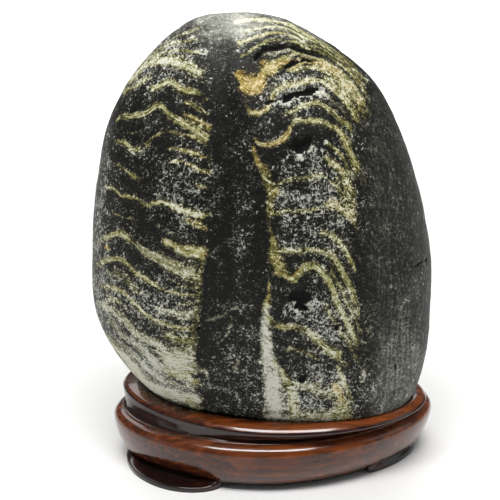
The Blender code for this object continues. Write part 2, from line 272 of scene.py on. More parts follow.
for route in CRACKS:
    gap, along, side = beside(across + 0.5 * ragged, up + 0.5 * ragged, route)
    taper = soft_step(0.0, 0.12, along) * (1 - soft_step(0.85, 1.0, along)) * 0.8 + 0.2
    opened = np.clip(1.0 - gap / CRACK_WIDTH - 0.6 * ragged, 0, 1) ** 0.6
    crack_depth = np.maximum(crack_depth, taper * opened)
    relief += LEDGE_HEIGHT * facing * np.exp(-((gap - LEDGE_AWAY) ** 2) / 0.8) * (side < 0)
relief -= facing * (pit_depth + CRACK_DEPTH * crack_depth - PIT_LIP * pit_lip)
relief = relief * soft_step(RELIEF_FROM, RELIEF_FULL, egg[..., 2]) - STONE_TRIM
skin = egg + outward * relief[..., None]
set_out = bpy.context.scene.collection.objects


def ring_mesh(name, rings, crown=None):
    """A mesh over level rings drawn in millimetres, open below, and closed above by a crown point if any."""
    count, steps = rings.shape[:2]
    points = rings.reshape(-1, 3)
    k, i = np.meshgrid(np.arange(count - 1), np.arange(steps), indexing="ij")
    this, following = k * steps + i, k * steps + (i + 1) % steps
    faces = np.stack((this, following, following + steps, this + steps), -1).reshape(-1, 4).tolist()
    if crown is not None:
        points = np.concatenate((points, [crown]))
        top = (count - 1) * steps
        faces += [(top + i, top + (i + 1) % steps, len(points) - 1) for i in range(steps)]
    points = (points + (PLACE_X, PLACE_Y, 0.0)) * MM
    mesh = bpy.data.meshes.new(name)
    mesh.from_pydata(points.tolist(), [], faces)
    mesh.shade_smooth()
    piece = bpy.data.objects.new(name, mesh)
    set_out.link(piece)
    return piece


crown = skin[-1].mean(0) + np.array((0.0, 0.0, 0.02))
stone = ring_mesh("banded_stone", turned(skin, STONE_TURN), turned(crown, STONE_TURN))

# The stone's layers: pale, lime-stained silt beds folded in the dark mud, on both sides of a plain dark
# vein. Each row gives how high one bed lies on the face, in millimetres, at the places named above it.

LEFT_PLACES = (-84, -77, -71, -65, -60, -54, -48, -43, -37, -31)
LEFT_BEDS = (
    (151, 160.5, 170, 178.5, 183, 188, 192.5, 195, 199, 201.5),
    (146.5, 157, 167, 172, 177, 180, 179.5, 178.5, 176, 173.5),
    (142, 152, 160, 162, 164.5, 167, 169, 165.5, 164.5, 161),
    (137, 148.5, 152.5, 153, 154.5, 158, 153.5, 150.5, 146.5, 143.5),
    (130, 139.5, 141, 137.5, 139.5, 144, 145.5, 144, 142.5, 139),
    (121, 132.5, 129, 124.5, 125, 129, 131, 131.5, 129, 127),
    (111.5, 119.5, 116, 114.5, 111.5, 113, 111, 109.5, 107.5, 106),
    (93, 97, 98, 93, 89, 86, 83, 80.5, 78.5, 77),
    (83.5, 86, 86, 80.5, 77.5, 73.5, 71.5, 70, 69.5, 68.5),
    (74, 73.5, 71.5, 65.5, 60.5, 57, 55, 54, 53.5, 53),
    (67, 63.5, 58.5, 52.5, 49, 46.5, 44, 43, 42.5, 42.5),
    (58.5, 57, 51, 46.5, 42.5, 37, 34, 32.5, 31, 30),
    (52, 48.5, 42, 35, 28.5, 25, 23, 21.5, 20.5, 16.5),
)
RIGHT_PLACES = (-16, -11, -7, -3.5, 0, 5, 9.5, 14, 20, 25.5, 31, 36, 40, 45, 50)
RIGHT_BEDS = (
    (202, 201.5, 201, 200.5, 200, 198.5, 196.5, 194, 191, 187.5, 183.5, 179.5, 177, 172, 165),
    (175.5, 178, 181.5, 184.5, 185, 186.5, 187, 184.5, 182.5, 180, 177, 172.5, 166, 158, 149),
    (170, 168, 168.5, 174, 175.5, 178, 176.5, 178, 177.5, 175, 170.5, 163.5, 157, 149, 139.5),
    (160.5, 155, 154.5, 156.5, 163.5, 166.5, 168, 169, 169.5, 167, 163, 156, 149, 141, 131.5),
    (152, 147.5, 146.5, 147.5, 151, 154.5, 155.5, 158, 159, 156.5, 152, 147.5, 141, 133.5, 124),
    (146.5, 143.5, 140, 139.5, 140, 143.5, 151, 151, 151, 149, 145.5, 136.5, 127.5, 121, 114),
    (142, 138.5, 137, 135, 133.5, 133.5, 135, 136.5, 136.5, 133, 129, 120.5, 114.5, 109, 102),
    (130, 128, 127, 123, 121, 122.5, 123.5, 124, 125, 124.5, 118.5, 111, 105.5, 100.5, 95),
    (116, 114, 111.5, 110, 108, 108.5, 108.5, 109, 109.5, 109, 107.5, 104, 99, 93, 86.5),
    (97.5, 95, 93, 91.5, 91, 90.5, 89.5, 89.5, 90.5, 89.5, 82.5, 72, 62.5, 55.5, 48.5),
    (90.5, 87.5, 85, 83, 81.5, 79.5, 78.5, 82, 82.5, 76.5, 63.5, 52.5, 46, 40, 33.5),
    (67, 64.5, 62.5, 60, 57, 54, 54, 53, 48.5, 44, 40, 35.5, 30.5, 25, 20.5),
    (29.5, 27.5, 26, 25, 24, 22.5, 21.5, 20.5, 18.5, 18, 19.5, 21, 23, 22.5, 18),
)
# Each pale line: the bed it follows, where it starts and ends across the face, its half width at both,
# how solid it is, and how ochre
LEFT_LINES = (
    (0.25, -66, -34, 0.5, 0.5, 0.35, 0.3),
    (0.45, -70, -36, 0.5, 0.6, 0.45, 0.3),
    (0.68, -66, -33, 0.5, 0.6, 0.5, 0.3),
    (0.86, -62, -40, 0.5, 0.4, 0.45, 0.3),
    (1.0, -72, -52, 0.9, 0.9, 0.75, 0.2),
    (1.08, -54, -33, 1.0, 2.3, 0.95, 0.15),
    (1.52, -68, -56, 1.0, 0.8, 0.7, 0.15),
    (2.0, -57, -32, 0.9, 1.3, 0.95, 0.2),
    (2.34, -42, -32, 0.4, 1.1, 0.75, 0.5),
    (2.72, -42, -31, 0.5, 1.6, 0.85, 0.6),
    (3.0, -71, -46, 1.0, 1.1, 0.95, 0.15),
    (3.02, -46, -31, 1.1, 2.0, 0.95, 0.4),
    (3.5, -68, -60, 0.5, 0.5, 0.4, 0.4),
    (4.0, -73, -60, 0.8, 0.9, 0.9, 0.35),
    (3.95, -58, -31, 0.5, 0.9, 0.6, 0.5),
    (4.52, -50, -31, 0.5, 1.0, 0.75, 0.55),
    (5.0, -73, -61, 0.5, 0.7, 0.6, 0.45),
    (4.98, -45, -31, 0.5, 0.9, 0.7, 0.5),
    (5.35, -38, -31, 0.4, 0.8, 0.6, 0.5),
    (6.0, -77, -56, 0.7, 0.8, 0.75, 0.4),
    (6.0, -56, -31, 0.8, 1.5, 0.95, 0.35),
    (6.17, -41, -31, 0.5, 2.0, 0.9, 0.6),
    (6.5, -77, -64, 0.5, 0.5, 0.5, 0.5),
    (6.43, -57, -33, 0.5, 0.6, 0.55, 0.0),
    (6.63, -52, -33, 0.6, 2.8, 1.0, 0.5),
    (7.0, -80, -66, 1.0, 1.0, 0.95, 0.3),
    (6.98, -64, -34, 0.9, 2.8, 1.0, 0.1),
    (7.62, -46, -33, 0.5, 0.7, 0.65, 0.35),
    (8.0, -82, -52, 0.9, 0.8, 0.85, 0.4),
    (8.02, -52, -33, 0.5, 0.7, 0.6, 0.35),
    (8.3, -47, -33, 0.4, 0.7, 0.6, 0.3),
    (8.5, -76, -60, 1.6, 1.2, 0.5, 0.1),
    (8.63, -55, -36, 0.7, 1.8, 0.9, 0.05),
    (9.0, -80, -56, 0.8, 0.7, 0.8, 0.4),
    (9.0, -56, -33, 0.8, 0.9, 0.8, 0.45),
    (9.5, -78, -70, 1.2, 1.0, 0.5, 0.3),
    (9.5, -52, -36, 1.8, 2.2, 0.5, 0.3),
    (10.0, -80, -50, 1.1, 1.3, 0.85, 0.1),
    (10.45, -52, -35, 2.4, 6.5, 0.95, 0.1),
    (11.0, -78, -50, 0.9, 1.4, 0.8, 0.05),
    (11.05, -50, -34, 1.4, 2.2, 0.8, 0.2),
    (11.5, -74, -38, 0.8, 0.9, 0.55, 0.05),
    (12.0, -78, -33, 1.3, 1.8, 0.95, 0.1),
    (12.4, -70, -40, 0.6, 0.8, 0.6, 0.0),
)
RIGHT_LINES = (
    (0.18, -16, 40, 0.5, 0.6, 0.5, 0.2),
    (0.36, -14, 44, 0.5, 0.6, 0.55, 0.2),
    (0.55, -18, 6, 0.7, 0.5, 0.5, 0.45),
    (0.62, 6, 44, 0.5, 0.6, 0.55, 0.2),
    (0.78, -16, 2, 0.6, 0.6, 0.55, 0.3),
    (0.85, 6, 46, 0.5, 0.6, 0.6, 0.25),
    (1.3, -4, 20, 0.8, 1.2, 0.75, 0.0),
    (1.45, 8, 46, 0.8, 1.0, 0.8, 0.45),
    (1.7, -6, 10, 0.6, 0.8, 0.7, 0.3),
    (2.0, -17.5, -3, 3.4, 2.8, 1.0, 0.82),
    (1.97, -5, 10, 2.4, 1.4, 0.95, 0.72),
    (1.85, 8, 42, 1.2, 1.2, 0.8, 0.58),
    (2.22, 4, 38, 0.7, 0.9, 0.68, 0.42),
    (2.62, 24, 40, 0.9, 0.8, 0.65, 0.45),
    (3.0, -15, -2, 0.8, 1.1, 0.9, 0.6),
    (2.98, -2, 38, 1.2, 0.8, 0.78, 0.45),
    (3.5, 9, 34, 0.5, 0.6, 0.45, 0.1),
    (4.0, 8, 38, 1.0, 1.1, 0.65, 0.2),
    (5.0, -12, 8, 0.9, 1.0, 0.95, 0.65),
    (5.0, 8, 30, 0.9, 1.1, 0.9, 0.35),
    (5.02, 28, 42, 1.1, 1.6, 0.8, 0.45),
    (5.6, 26, 38, 0.8, 0.8, 0.6, 0.45),
    (6.05, 25, 38, 1.1, 1.4, 0.75, 0.45),
    (6.6, 30, 40, 0.8, 0.9, 0.6, 0.45),
    (7.0, -3, 25, 0.7, 0.8, 0.5, 0.3),
    (7.05, 27, 40, 0.8, 0.9, 0.6, 0.45),
    (8.0, 1, 24, 0.7, 0.8, 0.55, 0.4),
    (7.82, 24, 39, 1.6, 2.2, 0.62, 0.45),
    (8.55, 22, 38, 0.9, 1.1, 0.75, 0.25),
    (9.0, 0, 26, 0.8, 1.0, 0.8, 0.35),
    (9.02, 24, 41, 1.3, 1.2, 0.85, 0.3),
    (9.5, 26, 42, 0.7, 0.8, 0.5, 0.3),
    (10.0, -3, 12, 1.2, 0.9, 0.9, 0.7),
    (10.0, 12, 40, 1.3, 1.3, 0.9, 0.3),
    (10.45, 24, 42, 0.6, 0.8, 0.5, 0.4),
    (11.0, -3, 12, 1.0, 1.0, 0.75, 0.5),
    (11.0, 12, 34, 1.1, 1.5, 0.8, 0.3),
    (11.3, 8, 22, 0.9, 0.7, 0.5, 0.3),
    (11.8, 4, 30, 1.4, 1.6, 0.5, 0.1),
)
# Stains and thick lenses: a route of (across, up), half width at its start and end, solidity, ochre
STAINS = (
    (((-9.5, 138), (-7, 131), (-4.5, 127)), 0.8, 1.7, 0.62, 0.66),
    (((-5, 129), (-2.5, 122), (-0.5, 117.5)), 1.7, 2.8, 0.68, 0.56),
    (((-2, 115), (-1, 108)), 1.5, 2.0, 0.5, 0.42),
    (((-2, 107), (-1.7, 96)), 0.8, 1.2, 0.42, 0.5),
    (((-1.2, 96), (0.5, 88), (3, 82)), 1.6, 3.2, 0.72, 0.5),
    (((3, 82), (7, 78), (10, 76.5)), 2.2, 1.2, 0.85, 0.5),
    (((-2.4, 75), (-2.4, 69), (-3.6, 64)), 0.7, 1.4, 0.7, 0.55),
    (((-3.8, 65), (-3.4, 52), (-3.2, 40)), 1.4, 2.7, 1.0, 0.0),
    (((-2.6, 40), (0, 28), (0.5, 12)), 3.0, 4.4, 0.85, 0.0),
    (((4, 34), (8, 27), (10, 13)), 1.4, 2.0, 0.7, 0.2),
    (((0, 37.5), (1.5, 36)), 0.7, 0.6, 0.8, 0.95),
    (((5, 9), (14, 12), (24, 12), (32, 15)), 3.0, 3.2, 0.6, 0.12),
    (((29, 27), (32, 19), (33, 12)), 2.0, 3.6, 0.5, 0.7),
    (((30, 36), (34, 27), (37, 20)), 0.8, 1.0, 0.55, 0.4),
    (((14, 26), (21, 27.5)), 1.2, 0.9, 0.7, 0.1),
    (((-37, 35), (-33, 34.5), (-31, 32)), 1.2, 0.7, 0.7, 0.0),
    (((-33, 84), (-34.5, 76), (-35.5, 66), (-36.5, 58), (-38, 46)), 1.2, 2.2, 0.38, 0.36),
    (((-39, 20), (-36, 14)), 1.6, 1.2, 0.7, 0.45),
    (((46, 62), (44, 50), (43, 38), (40, 26)), 2.6, 3.0, 0.16, 0.3),
    (((-51, 93.5), (-42, 91.5), (-33, 89.5)), 0.9, 2.4, 0.62, 0.42),
    (((-46, 90), (-42, 89), (-37, 87)), 0.6, 1.5, 1.0, 0.0),
    (((-78.6, 92.2), (-77.2, 90.6)), 0.6, 0.4, 0.6, 1.3),
    (((-31, 57.5), (-24, 60), (-17, 63.5)), 0.8, 0.6, 0.8, 0.0),
    (((-26, 47), (-21, 52), (-19, 58)), 0.6, 0.6, 0.5, 0.0),
    (((-18, 34), (-16, 41)), 0.8, 0.6, 0.6, 0.0),
)
# Where other stones bruised the skin most, and at the crown smooth paler patches that are painted sheen:
# across, up, half width, half height, how much paler it is there, and how much more of it is pecked
BRUISES_AND_TOP_SHEEN = (
    (-60, 186, 34, 24, 0.15, 0.32),
    # Painted sheen: the rows at up 199 and 200 make the top paler
    (11, 199, 40, 14, 0.34, 0.04),
    (14, 166, 30, 13, 0.10, 0.3),
    (-26, 200, 19, 18, 0.34, -0.22),
    (-12, 191, 9, 9, 0.14, 0.1),
    (-24, 180, 10, 20, 0.07, 0.04),
    (20, 110, 24, 30, 0.02, 0.32),
    (22, 58, 20, 18, 0.03, 0.34),
    (20, 22, 30, 22, 0.09, 0.34),
    (-60, 26, 32, 22, 0.26, 0.34),
    (-58, 62, 34, 22, 0.03, 0.29),
    (-42, 118, 14, 26, 0.0, 0.3),
    (-84, 100, 10, 80, 0.08, 0.3),
    (-15, 34, 16, 34, 0.08, 0.28),
    (-14, 104, 6, 50, 0.05, 0.18),
    (-3, 50, 3, 18, 0.2, 0.1),
    (0, 24, 5, 16, 0.16, 0.1),
    (60, 32, 18, 28, 0.16, 0.08),
)
FLANK_EDGE = ((205, 70), (185, 62), (165, 47), (140, 43), (110, 44), (80, 45), (50, 47), (25, 46), (10, 44))
BED_DEPTH = 16.0  # the beds' usual spacing in millimetres
WOBBLE = ((9.0, 0.8), (3.2, 0.45))  # length and height of the beds' small ripples
TORN_REACH, TORN_SIZE = 5.0, 5.0  # how far the ends of the beds are torn, and the size of one tear
BACK_DRIFT, DRIFT_SIZE = (14, 12), 38.0  # how far the beds drift across and up at the back
PLAIN_TONE, VEIN_TONE, FLANK_TONE = 0.22, 0.20, 0.385
PLAIN_PECKS, VEIN_PECKS, FLANK_PECKS = 0.30, 0.22, 0.03  # share of the skin that is pecked


def bed_at(across, up, places, beds):
    """Which bed each place on the face lies in, counted from the top."""
    heights = [smooth_through(across, places, bed) for bed in beds]
    last = len(heights) - 2
    number = np.zeros(across.shape)
    for k, (high, low) in enumerate(zip(heights, heights[1:])):
        step = (high - up) / (high - low)
        number += np.clip(step, -9.0 if k == 0 else 0.0, 9.0 if k == last else 1.0)
    return number


def bed_and_spacing(across, up, places, beds):
    """The bed at each place, and how many millimetres of skin one bed takes there."""
    step = 0.2
    number = bed_at(across, up, places, beds)
    slope_across = (bed_at(across + step, up, places, beds) - number) / step
    slope_up = (bed_at(across, up + step, places, beds) - number) / step
    return number, 1 / np.maximum(np.hypot(slope_across, slope_up), 0.02)


def add_mark(marks, mark, ochre):
    """Adds one line or stain to the solidity and the ochre gathered so far."""
    marks["pale"] = np.maximum(marks["pale"], mark)
    marks["ochre_sum"] = marks["ochre_sum"] + ochre * mark**2
    marks["weight"] = marks["weight"] + mark**2


def draw_lines(marks, across, number, spacing, lines, here):
    """Draws pale lines along the beds of one side of the face."""
    for bed, start, end, wide_start, wide_end, solid, ochre in lines:
        share = np.clip((across - start) / (end - start), 0, 1)
        half = wide_start + (wide_end - wide_start) * share
        off = np.abs(number - bed) * spacing / half
        ends = soft_step(start - 3.0, start + 1.5, across) * (1 - soft_step(end - 4.0, end + 3.5, across))
        core, halo = 1 - soft_step(0.2, 2.0, off), 1 - soft_step(0.5, 4.0, off)
        add_mark(marks, solid * (0.76 * core + 0.24 * halo) * ends * here, ochre)


# The beds run on through the stone and drift as they go, so that its back is no mirror image of its face
across, up = on_face(skin)
behind = soft_step(-15.0, 40.0, skin[..., 1])
drift = [worn(skin + shift, DRIFT_SIZE, 2) for shift in (0.0, 200.0)]
ripple = [sum(height * worn(skin + shift, size, 2) for size, height in WOBBLE) for shift in (50.0, 90.0)]
across = across + BACK_DRIFT[0] * behind * drift[0] + ripple[0]
up = up + BACK_DRIFT[1] * behind * drift[1] + ripple[1]
vein_left, vein_right = vein_edges(up)
torn = TORN_REACH * worn(skin + 400.0, TORN_SIZE, 3)
left_side = 1 - soft_step(-1.4, 1.8, across + torn - vein_left)
right_side = soft_step(-0.8, 1.6, across + 0.6 * torn - vein_right)
flank = soft_step(-6.0, 5.0, across - smooth_through(up, *np.array(FLANK_EDGE[::-1]).T))
left_bed, left_spacing = bed_and_spacing(across, up, LEFT_PLACES, LEFT_BEDS)
right_bed, right_spacing = bed_and_spacing(across, up, RIGHT_PLACES, RIGHT_BEDS)

marks = {name: np.zeros(across.shape) for name in ("pale", "ochre_sum", "weight")}
draw_lines(marks, across + 0.8 * torn, left_bed, left_spacing, LEFT_LINES, left_side)
draw_lines(marks, across + 0.8 * torn, right_bed, right_spacing, RIGHT_LINES, right_side * (1 - flank))
for route, wide_start, wide_end, solid, ochre in STAINS:
    gap, along = beside(across, up, route)[:2]
    off = gap / (wide_start + (wide_end - wide_start) * along)
    add_mark(marks, solid * (1 - soft_step(0.2, 1.9, off)) * (1 - 0.5 * behind), ochre)

in_vein = (1 - left_side) * (1 - right_side)
flank = flank * right_side
tone = PLAIN_TONE + (VEIN_TONE - PLAIN_TONE) * in_vein + (FLANK_TONE - PLAIN_TONE) * flank
pecks = PLAIN_PECKS + (VEIN_PECKS - PLAIN_PECKS) * in_vein + (FLANK_PECKS - PLAIN_PECKS) * flank
for middle, height, wide, tall, paler, denser in BRUISES_AND_TOP_SHEEN:
    near = 1 - soft_step(0.3, 1.3, np.hypot((across - middle) / wide, (up - height) / tall))
    tone += paler * near
    pecks += denser * near
# The pits' lower lips are paler as painted light where they face the light, and pecked; the scars are real
# bruises
bruised_and_lit = np.maximum(facing * pit_lip, 0.3 * scarred)
ochre = marks["ochre_sum"] / np.maximum(marks["weight"], 1e-3)
stone_fields = {  # what the slate is told at each point of the skin
    "pale": marks["pale"],
    "limed": soft_step(0.0, 0.5, marks["pale"]) * (0.3 + 0.7 * soft_step(0.0, 0.2, ochre)),
    "ochre": ochre,
    "bed": np.where(across < vein_left, left_bed, right_bed) * BED_DEPTH,
    "tone": tone + 0.18 * bruised_and_lit,
    "pecks": np.clip(pecks + 0.6 * bruised_and_lit, 0, 1),
    "plain": np.maximum(in_vein, flank),
    "flank": flank,
    # painted shade in the pits and cracks
    "hollow_shade": facing * np.clip(pit_depth / 1.3 + crack_depth, 0, 1),
}
for name, field in stone_fields.items():
    held = stone.data.attributes.new(name, "FLOAT", "POINT")
    held.data.foreach_set("value", np.append(field.ravel(), field[-1].mean()).astype(np.float32))


# Slate, water-worn: the dark mud keeps a dull wax-like gloss, the limy beds stay chalky, and bruises from
# other stones show as white flecks. It gives the eye crisp pale lines on near black, with a grainy bloom.
# The real grains are well under a millimetre; they are drawn coarser, as the picture would lose them.


def colour(hex_code):
    """An sRGB hex colour as linear red, green, blue and alpha."""
    parts = [int(hex_code[i : i + 2], 16) / 255 for i in (1, 3, 5)]
    return [c / 12.92 if c <= 0.04045 else ((c + 0.055) / 1.055) ** 2.4 for c in parts] + [1.0]


def feed(tree, node, inputs):
    """Sets a node's inputs to plain values, or links them to sockets or to other nodes' first outputs."""
    for name, value in inputs.items():
        if isinstance(value, bpy.types.Node):
            value = value.outputs[0]
        if isinstance(value, bpy.types.NodeSocket):
            tree.links.new(value, node.inputs[name])
        else:
            node.inputs[name].default_value = value


def add(tree, kind, inputs=None, **settings):
    """Adds one shader node, with its settings by name and its inputs."""
    made = tree.nodes.new("ShaderNode" + kind)
    for name, value in settings.items():
        setattr(made, name, value)
    feed(tree, made, inputs or {})
    return made


def new_material(name):
    """A new material and its node tree, with only the surface's own two nodes."""
    material = bpy.data.materials.new(name)
    material.use_nodes = True
    return material, material.node_tree, material.node_tree.nodes["Principled BSDF"]


PECK_SIZE, PECK_SHAKE = 1.5, 2.4  # millimetres between the hard pecks, and how far they are shaken apart
CHIP_SIZES = (1.05, 1.7)  # length in millimetres of the ragged chips of each kind
NICK_SIZE, GRAIN_SIZE, PATCH_SIZE = 3.4, 1.5, 7.0  # the same for nicks, grains and blotches
LAMINA_RUN, LAMINA_DEPTH = 8.0, 0.9  # length and thickness of the fine laminae, in millimetres
RUB_RUN, RUB_WIDTH = 16.0, 1.1  # length and width of the flank's upright rubs, in millimetres
# How much each part adds to a spot's tone, which runs from near black at 0.2 to chalk white at 1
BED_SHOWS, GRAIN_SHOWS, PATCH_SHOWS, RUB_SHOWS, STRUCK_SHOWS = 0.74, 0.75, 0.16, 0.35, 0.56
LAMINA_SHOWS, PLAIN_LOSES = 0.55, 0.4
TONE_SHIFT = -0.455

slate, tree, surface = new_material("water_worn_slate")
place = add(tree, "TexCoord").outputs["Object"]
field = {name: add(tree, "Attribute", attribute_name=name).outputs["Fac"] for name in stone_fields}
grain_scale = 1 / (GRAIN_SIZE * MM)
grain = add(tree, "TexNoise", {"Vector": place, "Scale": grain_scale, "Detail": 3.0, "Roughness": 0.8})
patch = add(tree, "TexNoise", {"Vector": place, "Scale": 1 / (PATCH_SIZE * MM), "Detail": 3.0})
apart = add(tree, "SeparateXYZ", {0: place})
run_x, run_y = (
    add(tree, "Math", {0: apart.outputs[axis], 1: 1 / (LAMINA_RUN * MM)}, operation="MULTIPLY")
    for axis in ("X", "Y")
)
run_bed = add(tree, "Math", {0: field["bed"], 1: 1 / LAMINA_DEPTH}, operation="MULTIPLY")
along_beds = add(tree, "CombineXYZ", {"X": run_x, "Y": run_y, "Z": run_bed})
lamina = add(tree, "TexNoise", {"Vector": along_beds, "Scale": 1.0, "Detail": 2.0, "Roughness": 0.6})
rub_scale = (1 / (RUB_WIDTH * MM), 1 / (RUB_WIDTH * MM), 1 / (RUB_RUN * MM))
rub_place = add(tree, "VectorMath", {0: place, 1: rub_scale}, operation="MULTIPLY")
rub = add(tree, "TexNoise", {"Vector": rub_place, "Scale": 1.0, "Detail": 2.0})

# Bruises: blotches of skin with ragged chips of every size, and a hard pale peck here and there
blotch = add(tree, "Math", {0: patch, 1: 0.5}, operation="SUBTRACT")
blotch = add(tree, "Math", {0: field["pecks"], 1: blotch}, operation="ADD")
chips = []
for size in CHIP_SIZES:
    shape = {"Vector": place, "Scale": 1 / (size * MM), "Detail": 2.0, "Roughness": 0.7, "Distortion": 0.6}
    chip = add(tree, "TexNoise", shape)
    chip = add(tree, "Math", {0: blotch, 1: 0.28, 2: chip}, operation="MULTIPLY_ADD")
    chips.append(add(tree, "MapRange", {"Value": chip, "From Min": 0.71, "From Max": 0.79, "To Max": 0.95}))
struck = add(tree, "Math", {0: chips[0], 1: chips[1]}, operation="MAXIMUM")
shaken = add(tree, "VectorMath", {0: grain.outputs["Color"], 1: (0.5, 0.5, 0.5)}, operation="SUBTRACT")
shaken = add(tree, "VectorMath", {0: shaken, "Scale": PECK_SHAKE * MM}, operation="SCALE")
shaken = add(tree, "VectorMath", {0: place, 1: shaken}, operation="ADD")
cell = add(tree, "TexVoronoi", {"Vector": shaken, "Scale": 1 / (PECK_SIZE * MM)})
chance = add(tree, "SeparateColor", {0: cell.outputs["Color"]})
wide = add(tree, "Math", {0: chance.outputs["Green"], 1: 0.22, 2: 0.18}, operation="MULTIPLY_ADD")
peck = add(tree, "Math", {0: cell.outputs["Distance"], 1: wide}, operation="DIVIDE")
peck = add(tree, "MapRange", {"Value": peck, "From Min": 0.5, "From Max": 1.2, "To Min": 1.0, "To Max": 0.0})
hard = add(tree, "Math", {0: blotch, 1: chance.outputs["Red"]}, operation="SUBTRACT")
hard = add(tree, "MapRange", {"Value": hard, "From Max": 0.4})
peck = add(tree, "Math", {0: peck, 1: hard}, operation="MULTIPLY")
struck = add(tree, "Math", {0: struck, 1: peck}, operation="MAXIMUM")
# Nicks: short bent scratches
seam = add(tree, "TexNoise", {"Vector": shaken, "Scale": 1 / (NICK_SIZE * MM), "Detail": 1.0})
seam = add(tree, "Math", {0: seam, 1: 0.5}, operation="SUBTRACT")
seam = add(tree, "Math", {0: seam}, operation="ABSOLUTE")
nick = add(tree, "MapRange", {"Value": seam, "From Max": 0.024, "To Min": 0.9, "To Max": 0.0})
here = add(tree, "Math", {0: field["pecks"], 1: 0.12, 2: patch}, operation="MULTIPLY_ADD")
here = add(tree, "MapRange", {"Value": here, "From Min": 0.58, "From Max": 0.72})
nick = add(tree, "Math", {0: nick, 1: here}, operation="MULTIPLY")
struck = add(tree, "Math", {0: struck, 1: nick}, operation="MAXIMUM")

# How pale each spot is: the bed it lies in, torn into laminae and grains, and the pecks on top
layered = add(tree, "Math", {0: lamina, 1: 1.2, 2: 0.08}, operation="MULTIPLY_ADD")
frayed = add(tree, "Math", {0: grain, 1: 1.3, 2: -0.65}, operation="MULTIPLY_ADD")
frayed = add(tree, "Math", {0: field["pale"], 1: frayed}, operation="ADD")
frayed = add(tree, "MapRange", {"Value": frayed, "From Min": 0.1, "From Max": 0.86})
bed_part = add(tree, "Math", {0: frayed, 1: layered}, operation="MULTIPLY")
showing = {0: field["plain"], 1: -PLAIN_LOSES, 2: LAMINA_SHOWS}
layers_show = add(tree, "Math", showing, operation="MULTIPLY_ADD")
between_beds = add(tree, "Math", {0: lamina, 1: 0.5}, operation="SUBTRACT")
rubbed = add(tree, "Math", {0: rub, 1: 0.5}, operation="SUBTRACT")
rubbed = add(tree, "Math", {0: rubbed, 1: field["flank"]}, operation="MULTIPLY")
tone = add(tree, "Math", {0: field["tone"], 1: TONE_SHIFT}, operation="ADD")
for part, shows in (
    (bed_part, BED_SHOWS),
    (grain, GRAIN_SHOWS),
    (between_beds, layers_show),
    (patch, PATCH_SHOWS),
    (rubbed, RUB_SHOWS),
    (struck, STRUCK_SHOWS),
):
    tone = add(tree, "Math", {0: part, 1: shows, 2: tone}, operation="MULTIPLY_ADD")

# Mud and its bruises are grey, the edges of the beds olive, and iron stain ochre; each pales by one ramp
TONES = (0.2, 0.36, 0.5, 0.66, 0.85, 1.0)
STAIN_RAMPS = (
    ("#131311", "#252521", "#4b4b45", "#808178", "#b2b3a8", "#d7d7cd"),
    ("#13130d", "#2b2a18", "#56522a", "#8e8a50", "#b7b48a", "#dadbca"),
    ("#17130d", "#3a2d18", "#68521c", "#977827", "#bd9d4c", "#d9c893"),
)
ramps = []
for codes in STAIN_RAMPS:
    made = add(tree, "ValToRGB", {"Fac": tone})
    stops = made.color_ramp.elements
    stops[0].position, stops[0].color = TONES[0], colour(codes[0])
    stops[1].position, stops[1].color = TONES[-1], colour(codes[-1])
    for position, code in zip(TONES[1:-1], codes[1:-1]):
        stops.new(position).color = colour(code)
    ramps.append(made.outputs["Color"])
stained = add(tree, "Math", {0: patch, 1: 0.8, 2: -0.4}, operation="MULTIPLY_ADD")
stained = add(tree, "Math", {0: field["ochre"], 1: stained}, operation="ADD")
stained = add(tree, "MapRange", {"Value": stained, "From Min": 0.42})
lime = add(tree, "Mix", {"Factor": stained, "A": ramps[1], "B": ramps[2]}, data_type="RGBA")
# Painted shade: the pits and cracks are darkened to near black #0b0c0a over their carved hollows
hollow_shade = add(tree, "Math", {0: grain, 1: field["hollow_shade"]}, operation="ADD")
hollow_shade = add(tree, "MapRange", {"Value": hollow_shade, "From Min": 0.86, "From Max": 1.1})
body = ramps[0]
for cover, over in ((field["limed"], lime.outputs["Result"]), (hollow_shade, colour("#0b0c0a"))):
    body = add(tree, "Mix", {"Factor": cover, "A": body, "B": over}, data_type="RGBA").outputs["Result"]
rough_range = {"From Min": 0.2, "From Max": 0.8, "To Min": 0.42, "To Max": 0.62}
gloss = add(tree, "MapRange", {"Value": tone, **rough_range})
rough_skin = add(tree, "Bump", {"Height": tone, "Strength": 0.6, "Distance": 0.45 * MM})
slate_skin = {"Base Color": body, "Roughness": gloss, "Normal": rough_skin, "Specular IOR Level": 0.12}
feed(tree, surface, slate_skin)
stone.data.materials.append(slate)
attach(stone, "root")
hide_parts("stone")

# The stand: one block of rosewood, carved to an oval with a collar that grips the stone, a groove, a
# rounded moulding, an apron that slopes in, and four crescent pads. It is drawn in millimetres.

NOSE_LENGTH, NOSE_DEPTH, NOSE_HEIGHT = 155.5, 102.0, 20.4
COLLAR_LENGTH, COLLAR_DEPTH = 148.5, 97.0
OVAL_SQUARENESS = 1.86
COLLAR_TURN, COLLAR_SHIFT = math.radians(-13.0), -0.3
SEAT_GAP = 0.4
# The collar's top by the share across it from the stone, and its rise over the lip; its rounded edge by
# inset and height; its wall by the share from the edge to the groove, and height
COLLAR_TOP = ((0.7, 0.55), (0.45, 0.8), (0.2, 0.8))
COLLAR_EDGE = ((0.0, 30.4), (0.25, 31.1), (1.0, 31.9), (2.1, 32.7))
COLLAR_WALL = ((0.6, 26.8), (0.2, 28.8))
GROOVE_INSET, GROOVE_HEIGHT = 6.2, 25.4
# Moulding, bead and apron: inset from the main oval, and height
MOULDING = ((0.0, NOSE_HEIGHT), (0.45, 21.8), (1.3, 22.9), (2.6, 23.8), (3.9, 24.3))
BEAD = ((3.95, 24.25), (4.25, 24.9), (4.8, 25.15), (5.4, 24.9))
APRON = ((4.8, 4.6), (3.2, 7.4), (1.4, 12.2), (0.3, 17.2))
APRON_INSET, APRON_BOTTOM = 5.6, 3.0
SLIM_ANGLE, SLIM_SHARE = math.radians(330.0), 0.4  # where the apron draws in more, and how much more
